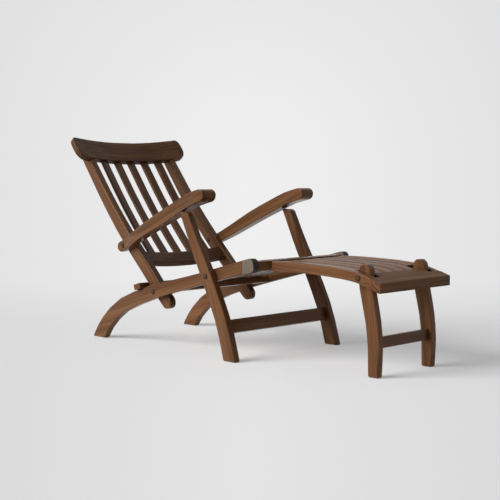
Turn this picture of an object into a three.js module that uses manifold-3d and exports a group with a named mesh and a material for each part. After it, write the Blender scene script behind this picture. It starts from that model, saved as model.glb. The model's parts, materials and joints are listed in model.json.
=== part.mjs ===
// A wooden steamer deck chair: a slatted seat on two arched rails, a reclining
// slatted back, two arms resting on crossed front legs, and a hinged footrest on
// folding legs of its own. Millimetres, +Z up, +X from the head towards the feet,
// +Y to the sitter's left. Each moving frame is a group placed at its own pivot.

import * as THREE from 'three';
import { mergeVertices } from 'three/addons/utils/BufferGeometryUtils.js';
import Module from 'manifold-3d';

const wasm = await Module();
wasm.setup();

// Fits and edges shared by the whole chair
const seatGap = 0.3; // between pieces that rest on or in each other
const sideGap = 0.5; // between frames that turn side by side
const boreGap = 0.08; // around a bolt shank or hinge pin
const cutOverrun = 80; // how far a cutting solid runs past what it cuts
const boardEase = 3.5; // rounding along the edges of frame members
const slatEase = 2.2; // rounding along the edges of slats
const barEase = 3; // rounding along the edges of cross bars
const roundingShare = 0.9; // most of a half width that rounding may take
const tenonLength = 15;
const tenonShoulder = 5;

// How finely the curves are stepped
const memberSteps = 12;
const railSteps = 16;
const slatSteps = 6;
const endBoardSteps = 4;
const bowSteps = 5; // from the middle of the back to one side
const armPlanSteps = 36;
const legTipSteps = 6;
const edgeSteps = 2; // round the edges of frame members
const slatEdgeSteps = 1;
const roundSteps = 20; // round a bolt, bore or pin
const roundedEndShares = [0.4, 0.7, 0.9, 0.98]; // along the rounded end of a member

// Seat rails, arched from the rear foot to the front end
const railReach = 950;
const railRise = 350;
const railDepth = 56;
const railThickness = 28.4;
const railNoseLength = 26;
const seatClearWidth = 471;
// along the floor, up, depth across: shares of the rail's reach, rise and depth
const railStationShares = [
  [0.008, -0.16, 1.24],
  [0.043, 0, 1.22],
  [0.094, 0.19, 1.1],
  [0.21, 0.425, 1.04],
  [0.406, 0.612, 0.99],
  [0.56, 0.72, 0.86],
  [0.71, 0.822, 0.8],
  [0.882, 0.939, 0.87],
  [0.973, 0.997, 0.95],
];
const backPivotShare = 0.418; // of the rail's reach
const legPivotShare = 0.77; // of the rail's reach

// Metal shoe on the front end of each rail
const shoeLength = 57;
const shoeWall = 1.6;

// Seat slats and the cross rails that carry them
const seatSlatCount = 6;
const seatSlatPitch = 68;
const seatSlatWidth = 54;
const slatThickness = 14;
const seatSlatDrop = 8; // below the top of the rails
const seatSlatStart = 410;
const seatSlatSeat = 17; // how far the slats lie over the front cross rail
const seatFrontRailDepth = 40;
const seatFrontRailHeight = 36;
const seatFrontRailSetback = 5; // behind the front ends of the rails
const seatFrontRailDrop = 10; // below the top of the rails
const seatRearRailPlace = 520;
const crossRailDepth = 40;
const crossRailHeight = 24;

// Bolts
const shankRadius = 4;
const headRadius = 8.8;
const headHeight = 3.6;
// across and up a domed head or nut: shares of its radius and height
const boltHeadShares = [
  [1, 0],
  [0.84, 0.62],
  [0, 1],
];

// Front legs, from the floor to the underside of the arms
const legRun = 257;
const legRise = 566;
const legDepth = 54;
const legTipRounding = 18; // of the front corner at the top
const legSpareShare = 0.25; // of the rise, past the top station, cut off under the arms
const legThickness = 29.2;
// towards the head, up, depth across: shares of the leg's run, rise and depth
const legStationShares = [
  [-0.03, -0.06, 1.1],
  [0, 0, 1.1],
  [0.174, 0.254, 1.06],
  [0.468, 0.523, 0.97],
  [0.698, 0.713, 0.87],
  [1, 0.99, 0.765],
];
const legStretcherHeight = 50;
const legStretcherThickness = 20;
const legStretcherLevel = 121;

// Back, modelled lying flat with its head towards -X, then raised by its recline
const backRecline = THREE.MathUtils.degToRad(45);
const stileReach = 745;
const stileSweep = 41;
const stileDepth = 53;
const stileThickness = 29;
const stileTipLength = 27;
// up the back, forward, depth across: shares of the stile's reach, sweep and depth
const stileStationShares = [
  [1, 1, 0.82],
  [0.655, 0.227, 0.94],
  [0.393, -0.046, 1.02],
  [0.155, 0, 1.04],
  [0, -0.02, 1],
  [-0.078, 0.04, 1],
];
const backBow = 31.5; // how far the middle of the back lies behind its ends
const backBowHalfWidth = 282.7;

const headRailTop = 787; // from the back pivot, up the back
const headRailHeight = 103;
const headRailThickness = 26;
const headRailHalfWidth = 291;
const headRailStandOut = 18.5; // ahead of the front edge of the stiles
// out from the middle, top, bottom: shares of the half width and height
const headRailEndShares = [
  [0.87, 0, 1],
  [0.935, 0, 0.97],
  [0.968, 0.02, 0.88],
  [0.99, 0.12, 0.76],
  [1, 0.3, 0.62],
];

const lowerRailPlace = 167; // from the back pivot to its middle, up the back
const lowerRailHeight = 56;
const lowerRailThickness = 29;
const lowerRailStandOut = 5.5;

const backSlatCount = 5;
const backSlatPitch = 73.3;
const backSlatWidth = 35;
const backSlatStandOut = 8.5;
const backSlatFall = 14; // rearward from the top of the slats to their bottom
const backSlatTenon = 14;

// Bar across the back of the stiles, resting on the seat rails
const stopBarHalfWidth = 277;
const stopBarDepth = 37;
const stopBarHeight = 22;
const stopBarLetIn = 5; // past where the stile meets the rail

// Arms
const armPivotUp = 258; // from the back pivot, up the stile
const armPivotSetback = 11; // behind the middle of the stile
const armReach = 498;
const armRise = 206.5;
const armDepth = 50;
const armNoseLength = 24;
const armTailLength = 22;
const armTongueThickness = 27;
const armFrontThickness = 67;
// along, up, depth across: shares of the arm's reach, rise and depth
const armStationShares = [
  [-0.026, -0.027, 0.86],
  [0.06, 0.055, 0.83],
  [0.214, 0.229, 0.85],
  [0.458, 0.508, 1],
  [0.693, 0.751, 1],
  [0.862, 0.917, 0.96],
  [1, 1, 0.96],
];
// along, outward: shares of the arm's reach and of its widening
const armPlanShares = [
  [-0.1, 0],
  [0, 0],
  [0.045, 0],
  [0.11, 0.22],
  [0.23, 0.475],
  [0.55, 0.5],
  [0.81, 0.75],
  [0.91, 0.95],
  [1.08, 1],
];

// Hinges between the seat and the footrest
const hingeAhead = 11; // in front of the seat rails
const hingeLevel = 340;
const hingePlace = 110; // from the middle of the chair
const hingeWidth = 50;
const leafThickness = 2.5;
const leafHeight = 22;
const leafRaise = 5.5; // middle of a leaf above the hinge axis
const knuckleRadius = 6;
const pinRadius = 2.5;

// Footrest
const footrestAhead = 16; // in front of the hinge axis
const footrestLift = 9.6; // middle of its rails above the hinge axis
const footrestReach = 486;
const footrestFall = 45;
const footrestDepth = 36;
const footrestThickness = 24;
const footrestHalfWidth = 196.5;
// along, up, depth across: shares of the footrest's reach, fall and depth
const footrestStationShares = [
  [0, -0.02, 1],
  [0.18, 0.02, 1],
  [0.37, 0, 0.98],
  [0.56, -0.07, 1.01],
  [0.74, -0.24, 1],
  [0.827, -0.43, 0.97],
  [0.918, -0.72, 0.96],
  [1, -1, 0.9],
];
const footrestSlatCount = 6;
const footrestSlatPitch = 59;
const footrestSlatWidth = 45;
const footrestSlatDrop = 2.5;
const footrestSlatStart = 2;
const footrestCrossDepth = 24;
const footrestCrossHeight = 18;
const footrestMidRailPlace = 235;
const endBoardShare = 0.158; // of the footrest's reach
const endBoardThickness = 30;
const endBoardLip = 42; // the part that covers the ends of the footrest rails
const endBoardSeat = 12; // how far the slats lie over the end board

// Footrest legs, with a round top that stands above the slats
const footLegPivotShare = 0.81; // of the footrest's reach
const footLegRun = 38;
const footLegRise = 352;
const footLegDepth = 52;
const footLegThickness = 26.5;
const footLegInner = 136.5;
const footLegClearance = 3; // around the leg tops where the footrest is open
const footLegFoldRoom = 13; // behind the leg tops, where the outer slats stop
// towards the toes, up, depth across: shares of the leg's run, rise and depth
const footLegStationShares = [
  [0.96, -0.08, 0.8],
  [0.98, 0, 0.8],
  [1, 0.14, 0.88],
  [1, 0.3, 0.94],
  [0.8, 0.51, 0.98],
  [0.4, 0.71, 1.02],
  [0.05, 0.88, 1.04],
  [0, 1, 1],
];
const footStretcherHeight = 39;
const footStretcherThickness = 18;
const footStretcherLevel = 115.5;

// Faces worked out from the sizes above, as distances from the middle plane
const railInner = seatClearWidth / 2;
const railOuter = railInner + railThickness;
const legInner = railOuter + sideGap;
const legOuter = legInner + legThickness;
const stileOuter = railInner - sideGap;
const stileInner = stileOuter - stileThickness;
const armInner = stileOuter + sideGap;
const armTongueOuter = armInner + armTongueThickness;
const footrestInner = footrestHalfWidth - footrestThickness;
const footLegOuter = footLegInner + footLegThickness;

const sides = [
  ['left', 1],
  ['right', -1],
];

// Joining and cutting

function solidOf(geometry) {
  const bare = geometry.clone();
  bare.deleteAttribute('normal');
  bare.deleteAttribute('uv');
  const welded = mergeVertices(bare);
  return new wasm.Manifold(new wasm.Mesh({
    numProp: 3,
    vertProperties: new Float32Array(welded.attributes.position.array),
    triVerts: new Uint32Array(welded.index.array),
  }));
}

function geometryOf(solid) {
  const mesh = solid.getMesh();
  const geometry = new THREE.BufferGeometry();
  geometry.setAttribute('position', new THREE.BufferAttribute(mesh.vertProperties, 3));
  geometry.setIndex(new THREE.BufferAttribute(mesh.triVerts, 1));
  geometry.computeVertexNormals();
  return geometry;
}

function cutAway(solid, cutters) {
  return cutters.reduce((rest, cutter) => rest.subtract(cutter), solid);
}

// Shapes

// Skin over a row of convex rings of [x, y, z] points, closed at both ends
function loft(rings) {
  const size = rings[0].length;
  const last = (rings.length - 1) * size;
  const faces = [];
  for (let start = 0; start < last; start += size) {
    for (let i = 0; i < size; i += 1) {
      const here = start + i;
      const next = start + ((i + 1) % size);
      faces.push(here, next, here + size, next, next + size, here + size);
    }
  }
  for (let i = 1; i + 1 < size; i += 1) {
    faces.push(0, i + 1, i, last, last + i, last + i + 1);
  }
  const geometry = new THREE.BufferGeometry();
  geometry.setAttribute('position', new THREE.Float32BufferAttribute(rings.flat(2), 3));
  geometry.setIndex(faces);
  geometry.computeVertexNormals();
  return geometry;
}

// Rectangle with rounded corners, as [across, along] pairs about its middle
function roundedSection(acrossHalf, alongHalf, radius, steps = edgeSteps) {
  const corner = Math.min(radius, acrossHalf * roundingShare, alongHalf * roundingShare);
  const points = [];
  for (let quarter = 0; quarter < 4; quarter += 1) {
    for (let step = 0; step <= steps; step += 1) {
      const angle = ((quarter + step / steps) * Math.PI) / 2;
      const acrossSide = quarter < 2 ? 1 : -1;
      const alongSide = quarter === 0 || quarter === 3 ? 1 : -1;
      points.push([
        acrossSide * (acrossHalf - corner) + corner * Math.sin(angle),
        alongSide * (alongHalf - corner) + corner * Math.cos(angle),
      ]);
    }
  }
  return points;
}

// A place on a member's middle line, with its direction and half its depth
function station(x, z, direction, half) {
  return { x, z, direction, half, across: new THREE.Vector2(-direction.y, direction.x) };
}

// Stations along a smooth member; nose and tail are the lengths of its rounded
// ends, a larger blunt makes them squarer, and inset draws the whole shape in
function member(shares, run, rise, depth, options = {}) {
  const { steps = memberSteps, nose = 0, tail = 0, inset = 0, blunt = 2 } = options;
  const line = new THREE.SplineCurve(shares.map(([a, u]) => new THREE.Vector2(a * run, u * rise)));
  const girth = new THREE.SplineCurve(shares.map(([, , d], i) => new THREE.Vector2(i, d * depth)));
  const stations = [];
  for (let i = 0; i <= steps; i += 1) {
    const point = line.getPoint(i / steps);
    const half = girth.getPoint(i / steps).y / 2 - inset;
    stations.push(station(point.x, point.y, line.getTangent(i / steps), half));
  }
  const rounded = (end, length, way) => roundedEndShares.map((share) => station(
    end.x + way * length * share * end.direction.x,
    end.z + way * length * share * end.direction.y,
    end.direction,
    end.half * (1 - share ** blunt) ** (1 / blunt),
  ));
  const noseStations = nose > 0 ? rounded(stations[steps], nose - inset, 1) : [];
  const tailStations = tail > 0 ? rounded(stations[0], tail - inset, -1).reverse() : [];
  return [...tailStations, ...stations, ...noseStations];
}

function edgeOf(stations, side) {
  return stations.map(({ x, z, across, half }) => new THREE.Vector2(
    x + side * half * across.x,
    z + side * half * across.y,
  ));
}

// Place and direction on an edge of a side view, at a given distance along
function edgeAt(edge, along) {
  let i = 1;
  while (i < edge.length - 1 && edge[i].x < along) i += 1;
  const before = edge[i - 1];
  const after = edge[i];
  const share = (along - before.x) / (after.x - before.x);
  const direction = after.clone().sub(before).normalize();
  return { place: before.clone().lerp(after, share), direction };
}

// Place and direction on a rising edge of a side view, at a given level
function edgeAtLevel(edge, level) {
  const { place, direction } = edgeAt(edge.map(({ x, y }) => new THREE.Vector2(y, x)), level);
  return {
    place: new THREE.Vector2(place.y, place.x),
    direction: new THREE.Vector2(direction.y, direction.x),
  };
}

// Where a rising edge, drawn on if need be, comes up to another edge
function meeting(rising, other) {
  const below = rising.map((at) => edgeAt(other, at.x).place.y - at.y);
  const above = below.findIndex((depth) => depth < 0);
  const i = above > 0 ? above : rising.length - 1;
  return rising[i - 1].clone().lerp(rising[i], below[i - 1] / (below[i - 1] - below[i]));
}

// Stations of a slat lying a given drop below an edge, from one place to another
function slatStations(edge, from, to, drop, thickness, steps = slatSteps) {
  const down = drop + thickness / 2;
  const stations = [];
  for (let i = 0; i <= steps; i += 1) {
    const { place, direction } = edgeAt(edge, from + ((to - from) * i) / steps);
    const x = place.x + direction.y * down;
    const z = place.y - direction.x * down;
    stations.push(station(x, z, direction, thickness / 2));
  }
  return stations;
}

// Board along stations of a side view, between two distances from the middle
// plane; either may be a function of the distance along
function board(stations, near, far, ease, cornerSteps = edgeSteps) {
  return loft(stations.map(({ x, z, across, half }) => {
    const nearHere = typeof near === 'function' ? near(x) : near;
    const farHere = typeof far === 'function' ? far(x) : far;
    const middle = (nearHere + farHere) / 2;
    const section = roundedSection(half, (farHere - nearHere) / 2, ease, cornerSteps);
    return section.map(([up, out]) => [x + up * across.x, middle + out, z + up * across.y]);
  }));
}

// Board on one side of the chair, between its inner and outer faces
function sideBoard(stations, side, inner, outer, ease) {
  return side > 0 ? board(stations, inner, outer, ease) : board(stations, -outer, -inner, ease);
}

function slatBoard(stations, middle, width) {
  return board(stations, middle - width / 2, middle + width / 2, slatEase, slatEdgeSteps);
}

// Straight bar across the chair, about its own middle
function bar(depth, height, halfWidth, ease) {
  const section = roundedSection(depth / 2, height / 2, ease);
  return loft([-halfWidth, halfWidth].map((y) => section.map(([x, z]) => [x, y, z])));
}

function block(depth, width, height) {
  return new THREE.BoxGeometry(depth, width, height);
}

function placed(geometry, x, y, z, tilt = 0) {
  return geometry.rotateY(tilt).translate(x, y, z);
}

// Cross bar with a tenon at each end, and the sockets that take the tenons
function tenonedBar(depth, height, halfSpan, x, z, tilt) {
  const tenonDepth = depth - 2 * tenonShoulder;
  const tenonHeight = height - 2 * tenonShoulder;
  const reach = 2 * (halfSpan + tenonLength);
  const body = bar(depth, height, halfSpan - seatGap, barEase);
  const tenons = block(tenonDepth, reach - 2 * seatGap, tenonHeight);
  const sockets = block(tenonDepth + 2 * seatGap, reach, tenonHeight + 2 * seatGap);
  return {
    solid: solidOf(placed(body, x, 0, z, tilt)).add(solidOf(placed(tenons, x, 0, z, tilt))),
    sockets: solidOf(placed(sockets, x, 0, z, tilt)),
  };
}

// Cross bar right under slats whose undersides follow a line
function crossUnderSlats(underside, along, depth, height, halfSpan) {
  const before = edgeAt(underside, along - depth / 2).place;
  const after = edgeAt(underside, along + depth / 2).place;
  const direction = after.clone().sub(before).normalize();
  const middle = before.lerp(after, 0.5);
  const down = seatGap + height / 2;
  const x = middle.x + direction.y * down;
  const z = middle.y - direction.x * down;
  return tenonedBar(depth, height, halfSpan, x, z, -direction.angle());
}

// Board bowed rearward in its middle, lying flat with its front face up; rows
// give distance out from the middle, top edge and bottom edge
function bowedBoard(rows, thickness, standOut, ease) {
  const mirrored = [...rows.map(([y, top, bottom]) => [-y, top, bottom]).reverse(), ...rows];
  return loft(mirrored.map(([y, top, bottom]) => {
    const middle = standOut - thickness / 2 - bowAt(y);
    const section = roundedSection((bottom - top) / 2, thickness / 2, ease);
    return section.map(([down, up]) => [(top + bottom) / 2 + down, y, middle + up]);
  }));
}

function bowAt(y) {
  return backBow * (1 - (y / backBowHalfWidth) ** 2);
}

// Rows of equal height from the middle out to a half width, for a bowed board
function evenRows(halfWidth, top, bottom) {
  return Array.from({ length: bowSteps }, (_, i) => [(halfWidth * (i + 1)) / bowSteps, top, bottom]);
}

// Middles of evenly spaced pieces across the chair
function spread(count, pitch) {
  return Array.from({ length: count }, (_, i) => (i - (count - 1) / 2) * pitch);
}

// Bolt along Y through everything between two faces, with a domed head on the
// outer face and a domed nut on the inner one
function boltThrough(side, inner, outer, x, z) {
  const half = (outer - inner) / 2 + seatGap;
  const head = boltHeadShares.map(([r, h]) => new THREE.Vector2(r * headRadius, half + h * headHeight));
  const nut = head.map(({ x: r, y }) => new THREE.Vector2(r, -y)).reverse();
  const shank = [new THREE.Vector2(shankRadius, -half), new THREE.Vector2(shankRadius, half)];
  const geometry = new THREE.LatheGeometry([...nut, ...shank, ...head], roundSteps);
  return placed(geometry, x, (side * (inner + outer)) / 2, z);
}

function bore(x, z, radius = shankRadius) {
  const hole = radius + boreGap;
  const length = 2 * (legOuter + cutOverrun);
  return solidOf(placed(new THREE.CylinderGeometry(hole, hole, length, roundSteps), x, 0, z));
}

// Block wider than the chair, between two places along and two levels
function reachBlock(x0, x1, z0, z1) {
  const width = 2 * (legOuter + cutOverrun);
  return solidOf(placed(block(x1 - x0, width, z1 - z0), (x0 + x1) / 2, 0, (z0 + z1) / 2));
}

// Everything below the floor, for a frame whose pivot is at a height above it
function belowFloor(height) {
  return reachBlock(-railReach, 2 * railReach, -railRise - height, -height);
}

// Assembly

const chair = new THREE.Group();
const walnut = { color: 0x6b4a35, roughness: 0.5, metalness: 0 };
const darkSteel = { color: 0x2b2a2c, roughness: 0.35, metalness: 0.9 };
const shoeSteel = { color: 0x8d857c, roughness: 0.4, metalness: 0.85 };

function addPiece(group, name, shape, look) {
  const geometry = shape.isBufferGeometry ? shape : geometryOf(shape);
  const mesh = new THREE.Mesh(geometry, new THREE.MeshStandardMaterial(look));
  mesh.name = name;
  group.add(mesh);
}

function frameAt(x, z, angle = 0) {
  const group = new THREE.Group();
  group.position.set(x, 0, z);
  group.rotation.y = angle;
  group.updateMatrix();
  chair.add(group);
  return group;
}

// Side view of the seat rails and the pivots on their middle line
const railShape = { steps: railSteps, nose: railNoseLength, blunt: 3 };
const railStations = member(railStationShares, railReach, railRise, railDepth, railShape);
const railTop = edgeOf(railStations, 1);
const railLine = edgeOf(railStations, 0);
const backPivot = edgeAt(railLine, backPivotShare * railReach).place;
const legPivot = edgeAt(railLine, legPivotShare * railReach).place;

const seatFrame = frameAt(0, 0);
const backFrame = frameAt(backPivot.x, backPivot.y, backRecline);

// Side view of the stiles, in the back's own frame
const stileShape = { nose: stileTipLength };
const stileStations = member(stileStationShares, -stileReach, stileSweep, stileDepth, stileShape);
const stileFront = edgeOf(stileStations, 1);
const stileRear = edgeOf(stileStations, -1);
const stileLine = edgeOf(stileStations, 0);

function fromBack(x, z) {
  const point = new THREE.Vector3(x, 0, z).applyMatrix4(backFrame.matrix);
  return new THREE.Vector2(point.x, point.z);
}

const armPivotLocal = edgeAt(stileLine, -armPivotUp).place.sub(new THREE.Vector2(0, armPivotSetback));
const armPivot = fromBack(armPivotLocal.x, armPivotLocal.y);

// Side view of the arms, in their own frame at their pivot
const armShape = { nose: armNoseLength, tail: armTailLength };
const armStations = member(armStationShares, armReach, armRise, armDepth, armShape);
const armUnderside = edgeOf(armStations, -1);

// Seat frame

const shoeRoom = shoeWall + seatGap;

// The front of a rail, from a distance behind or ahead of where its shoe starts
function shoeZone(ahead) {
  return reachBlock(railReach - shoeLength + ahead, railReach + cutOverrun, 0, railReach);
}

function railSolid(side, inset) {
  const stations = member(railStationShares, railReach, railRise, railDepth, { ...railShape, inset });
  return solidOf(sideBoard(stations, side, railInner + inset, railOuter - inset, boardEase));
}

const seatFrontPlace = railReach - seatFrontRailSetback - seatFrontRailDepth / 2;
const seatFrontTop = edgeAt(railTop, seatFrontPlace).place.y - seatFrontRailDrop;
const seatFrontRail = tenonedBar(
  seatFrontRailDepth,
  seatFrontRailHeight,
  railInner,
  seatFrontPlace,
  seatFrontTop - seatFrontRailHeight / 2,
  0,
);
const seatSlatEnd = railReach - seatFrontRailSetback - seatFrontRailDepth + seatSlatSeat;

function seatSlatStations(room) {
  const thickness = slatThickness + 2 * room;
  const drop = seatSlatDrop - room;
  return slatStations(railTop, seatSlatStart - room, seatSlatEnd + room, drop, thickness);
}

const seatSlatUnderside = edgeOf(seatSlatStations(0), -1);
const seatRearRail = crossUnderSlats(
  seatSlatUnderside,
  seatRearRailPlace,
  crossRailDepth,
  crossRailHeight,
  railInner,
);

function seatSlat(middle, room) {
  return slatBoard(seatSlatStations(room), middle, seatSlatWidth + 2 * room);
}

const backBore = bore(backPivot.x, backPivot.y);
const legBore = bore(legPivot.x, legPivot.y);
const seatSlatMiddles = spread(seatSlatCount, seatSlatPitch);

for (const [name, side] of sides) {
  const whole = railSolid(side, 0).subtract(belowFloor(0));
  const core = railSolid(side, shoeRoom).intersect(shoeZone(-shoeRoom));
  const wood = whole.subtract(shoeZone(0)).add(core);
  const cuts = [backBore, legBore, seatFrontRail.sockets, seatRearRail.sockets];
  addPiece(seatFrame, `seat_rail_${name}`, cutAway(wood, cuts), walnut);
  const shoe = whole.intersect(shoeZone(seatGap));
  const shoeCuts = [railSolid(side, shoeWall), seatFrontRail.sockets];
  addPiece(seatFrame, `end_cap_${name}`, cutAway(shoe, shoeCuts), shoeSteel);
}
const slatHousings = seatSlatMiddles.map((middle) => solidOf(seatSlat(middle, seatGap)));
addPiece(seatFrame, 'seat_front_rail', cutAway(seatFrontRail.solid, slatHousings), walnut);
addPiece(seatFrame, 'seat_rear_rail', seatRearRail.solid, walnut);
seatSlatMiddles.forEach((middle, i) => {
  addPiece(seatFrame, `seat_slat_${i + 1}`, seatSlat(middle, 0), walnut);
});
for (const [name, side] of sides) {
  const legBolt = boltThrough(side, railInner, legOuter, legPivot.x, legPivot.y);
  addPiece(seatFrame, `leg_pivot_bolt_${name}`, legBolt, darkSteel);
  const backBolt = boltThrough(side, stileInner, railOuter, backPivot.x, backPivot.y);
  addPiece(seatFrame, `back_pivot_bolt_${name}`, backBolt, darkSteel);
}

// Front legs, in their own frame at their pivot

const legFrame = frameAt(legPivot.x, legPivot.y);

// A station straight on from the last one
function pastEnd(stations, length) {
  const { x, z, direction, half } = stations[stations.length - 1];
  return station(x + length * direction.x, z + length * direction.y, direction, half);
}

// Leg stations about a pivot at a given height above the floor
function legAbout(shares, run, rise, depth, height, nose = 0) {
  const fromFloor = member(shares, run, rise, depth, { nose });
  const atPivot = edgeAtLevel(edgeOf(fromFloor, 0), height).place.x;
  return fromFloor.map((each) => ({ ...each, x: each.x - atPivot, z: each.z - height }));
}

// Straight bar between two legs, along the legs' own slope at a level above the floor
function legStretcher(stations, height, level, thickness, tall, halfSpan) {
  const { place, direction } = edgeAtLevel(edgeOf(stations, 0), level - height);
  const tilt = Math.atan2(direction.x, direction.y);
  return tenonedBar(thickness, tall, halfSpan, place.x, place.y, tilt);
}

const legCurve = legAbout(legStationShares, -legRun, legRise, legDepth, legPivot.y);
const legStations = [...legCurve, pastEnd(legCurve, legSpareShare * legRise)];
const frontStretcher = legStretcher(
  legStations,
  legPivot.y,
  legStretcherLevel,
  legStretcherThickness,
  legStretcherHeight,
  legInner,
);
const armShift = armPivot.clone().sub(legPivot).sub(new THREE.Vector2(0, seatGap));
const underArms = armUnderside
  .filter(({ x }) => x > 0 && x < armReach)
  .map((at) => at.clone().add(armShift));

// Everything above the top of the legs, which is level, meets the arms at the
// rear edge and is rounded over the front edge
function legTopCutter() {
  const level = meeting(edgeOf(legStations, 1), underArms).y;
  const corner = edgeAtLevel(edgeOf(legStations, -1), level);
  const rearEnd = new THREE.Vector2(corner.place.x - legRun - cutOverrun, level);
  const flatEnd = corner.place.clone().sub(new THREE.Vector2(legTipRounding, 0));
  const roundEnd = corner.place.clone().addScaledVector(corner.direction, -legTipRounding);
  const rounding = new THREE.QuadraticBezierCurve(flatEnd, corner.place, roundEnd);
  const width = legOuter + cutOverrun;
  const top = level + legRise;
  return loft([rearEnd, ...rounding.getPoints(legTipSteps)].map(({ x, y }) => [
    [x, width, y],
    [x, width, top],
    [x, -width, top],
    [x, -width, y],
  ]));
}

for (const [name, side] of sides) {
  const blank = solidOf(sideBoard(legStations, side, legInner, legOuter, boardEase));
  const cuts = [belowFloor(legPivot.y), solidOf(legTopCutter()), bore(0, 0), frontStretcher.sockets];
  addPiece(legFrame, `front_leg_${name}`, cutAway(blank, cuts), walnut);
}
addPiece(legFrame, 'front_stretcher', frontStretcher.solid, walnut);

// Back, in its own frame

const headDirection = edgeAt(stileFront, -stileReach).direction;
const headSlope = Math.atan(headDirection.y / headDirection.x);
const headFront = edgeAt(stileFront, -headRailTop).place.y;

function headRail(room) {
  const rows = [
    ...evenRows(headRailEndShares[0][0] * headRailHalfWidth, -room, headRailHeight + room),
    ...headRailEndShares.slice(1).map(([out, top, bottom]) => [
      out * headRailHalfWidth,
      top * headRailHeight - room,
      bottom * headRailHeight + room,
    ]),
  ];
  const thickness = headRailThickness + 2 * room;
  const plank = bowedBoard(rows, thickness, headRailStandOut + room, barEase);
  return placed(plank, -headRailTop, 0, headFront, -headSlope);
}

const lowerFront = edgeAt(stileFront, -lowerRailPlace).place.y;

function lowerRail(halfWidth, shoulder, room) {
  const half = lowerRailHeight / 2 - shoulder + room;
  const thickness = lowerRailThickness - 2 * shoulder + 2 * room;
  const rows = evenRows(halfWidth, -lowerRailPlace - half, -lowerRailPlace + half);
  const standOut = lowerRailStandOut - shoulder + room;
  return solidOf(placed(bowedBoard(rows, thickness, standOut, barEase), 0, 0, lowerFront));
}

const backSlatTop = -headRailTop + headRailHeight * Math.cos(headSlope) - backSlatTenon;
const backSlatBottom = -lowerRailPlace - lowerRailHeight / 2 + backSlatTenon;

// Line that the slats follow, from the front edge of the stiles rearward to the bottom
const backSlatLine = stileFront.map(({ x, y }) => {
  const down = (x - backSlatTop) / (backSlatBottom - backSlatTop);
  return new THREE.Vector2(x, y - down * backSlatFall);
});

// Slat along the front of the back, leaning with the bow
function backSlat(middle, room) {
  const drop = bowAt(middle) - backSlatStandOut - room;
  const stations = slatStations(
    backSlatLine,
    backSlatTop - room,
    backSlatBottom + room,
    drop,
    slatThickness + 2 * room,
  );
  const geometry = slatBoard(stations, middle, backSlatWidth + 2 * room);
  const lean = (2 * backBow * middle) / backBowHalfWidth ** 2;
  const shear = new THREE.Matrix4().set(1, 0, 0, 0, 0, 1, 0, 0, 0, lean, 1, -lean * middle, 0, 0, 0, 1);
  return geometry.applyMatrix4(shear);
}

// Where the rear edge of the stiles comes down on the top of the rails
function stopPlace() {
  const rear = stileRear.map(({ x, y }) => fromBack(x, y));
  const above = rear.filter(({ x, y }) => y > edgeAt(railTop, x).place.y);
  return edgeAt(railTop, above[above.length - 1].x);
}

function stopBar(room) {
  const { place, direction } = stopPlace();
  const back = stopBarDepth / 2 - stopBarLetIn;
  const up = stopBarHeight / 2 + seatGap;
  const x = place.x - back * direction.x - up * direction.y;
  const z = place.y - back * direction.y + up * direction.x;
  const depth = stopBarDepth + 2 * room;
  const shape = bar(depth, stopBarHeight + 2 * room, stopBarHalfWidth + room, barEase);
  const toBack = backFrame.matrix.clone().invert();
  return placed(shape, x, 0, z, -direction.angle()).applyMatrix4(toBack);
}

const backSlatMiddles = spread(backSlatCount, backSlatPitch);
const backSlatSockets = backSlatMiddles.map((middle) => solidOf(backSlat(middle, seatGap)));
const stileCuts = [
  bore(0, 0),
  bore(armPivotLocal.x, armPivotLocal.y),
  solidOf(headRail(seatGap)),
  lowerRail(stileInner + tenonLength, tenonShoulder, seatGap),
  solidOf(stopBar(seatGap)),
];
for (const [name, side] of sides) {
  const stile = solidOf(sideBoard(stileStations, side, stileInner, stileOuter, boardEase));
  addPiece(backFrame, `back_stile_${name}`, cutAway(stile, stileCuts), walnut);
}
addPiece(backFrame, 'head_rail', cutAway(solidOf(headRail(0)), backSlatSockets), walnut);
const lowerRailWhole = lowerRail(stileInner - seatGap, 0, 0)
  .add(lowerRail(stileInner + tenonLength - seatGap, tenonShoulder, 0));
addPiece(backFrame, 'back_lower_rail', cutAway(lowerRailWhole, backSlatSockets), walnut);
backSlatMiddles.forEach((middle, i) => {
  addPiece(backFrame, `back_slat_${i + 1}`, backSlat(middle, 0), walnut);
});
addPiece(backFrame, 'stop_bar', stopBar(0), walnut);
for (const [name, side] of sides) {
  const armBolt = boltThrough(side, stileInner, armTongueOuter, armPivotLocal.x, armPivotLocal.y);
  addPiece(backFrame, `arm_pivot_bolt_${name}`, armBolt, darkSteel);
}

// Arms, in their own frame at their pivot

const armFrame = frameAt(armPivot.x, armPivot.y);
const armPlan = armPlanShares.map(([along, out]) => new THREE.Vector2(
  along * armReach,
  armTongueOuter + out * (armFrontThickness - armTongueThickness),
));
const armOutline = new THREE.SplineCurve(armPlan).getPoints(armPlanSteps);
for (const [name, side] of sides) {
  const outer = (x) => side * edgeAt(armOutline, x).place.y;
  const inner = () => side * armInner;
  const [near, far] = side > 0 ? [inner, outer] : [outer, inner];
  const arm = solidOf(board(armStations, near, far, boardEase));
  addPiece(armFrame, `arm_${name}`, arm.subtract(bore(0, 0)), walnut);
}

// Footrest, in its own frame at the hinge axis

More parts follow.
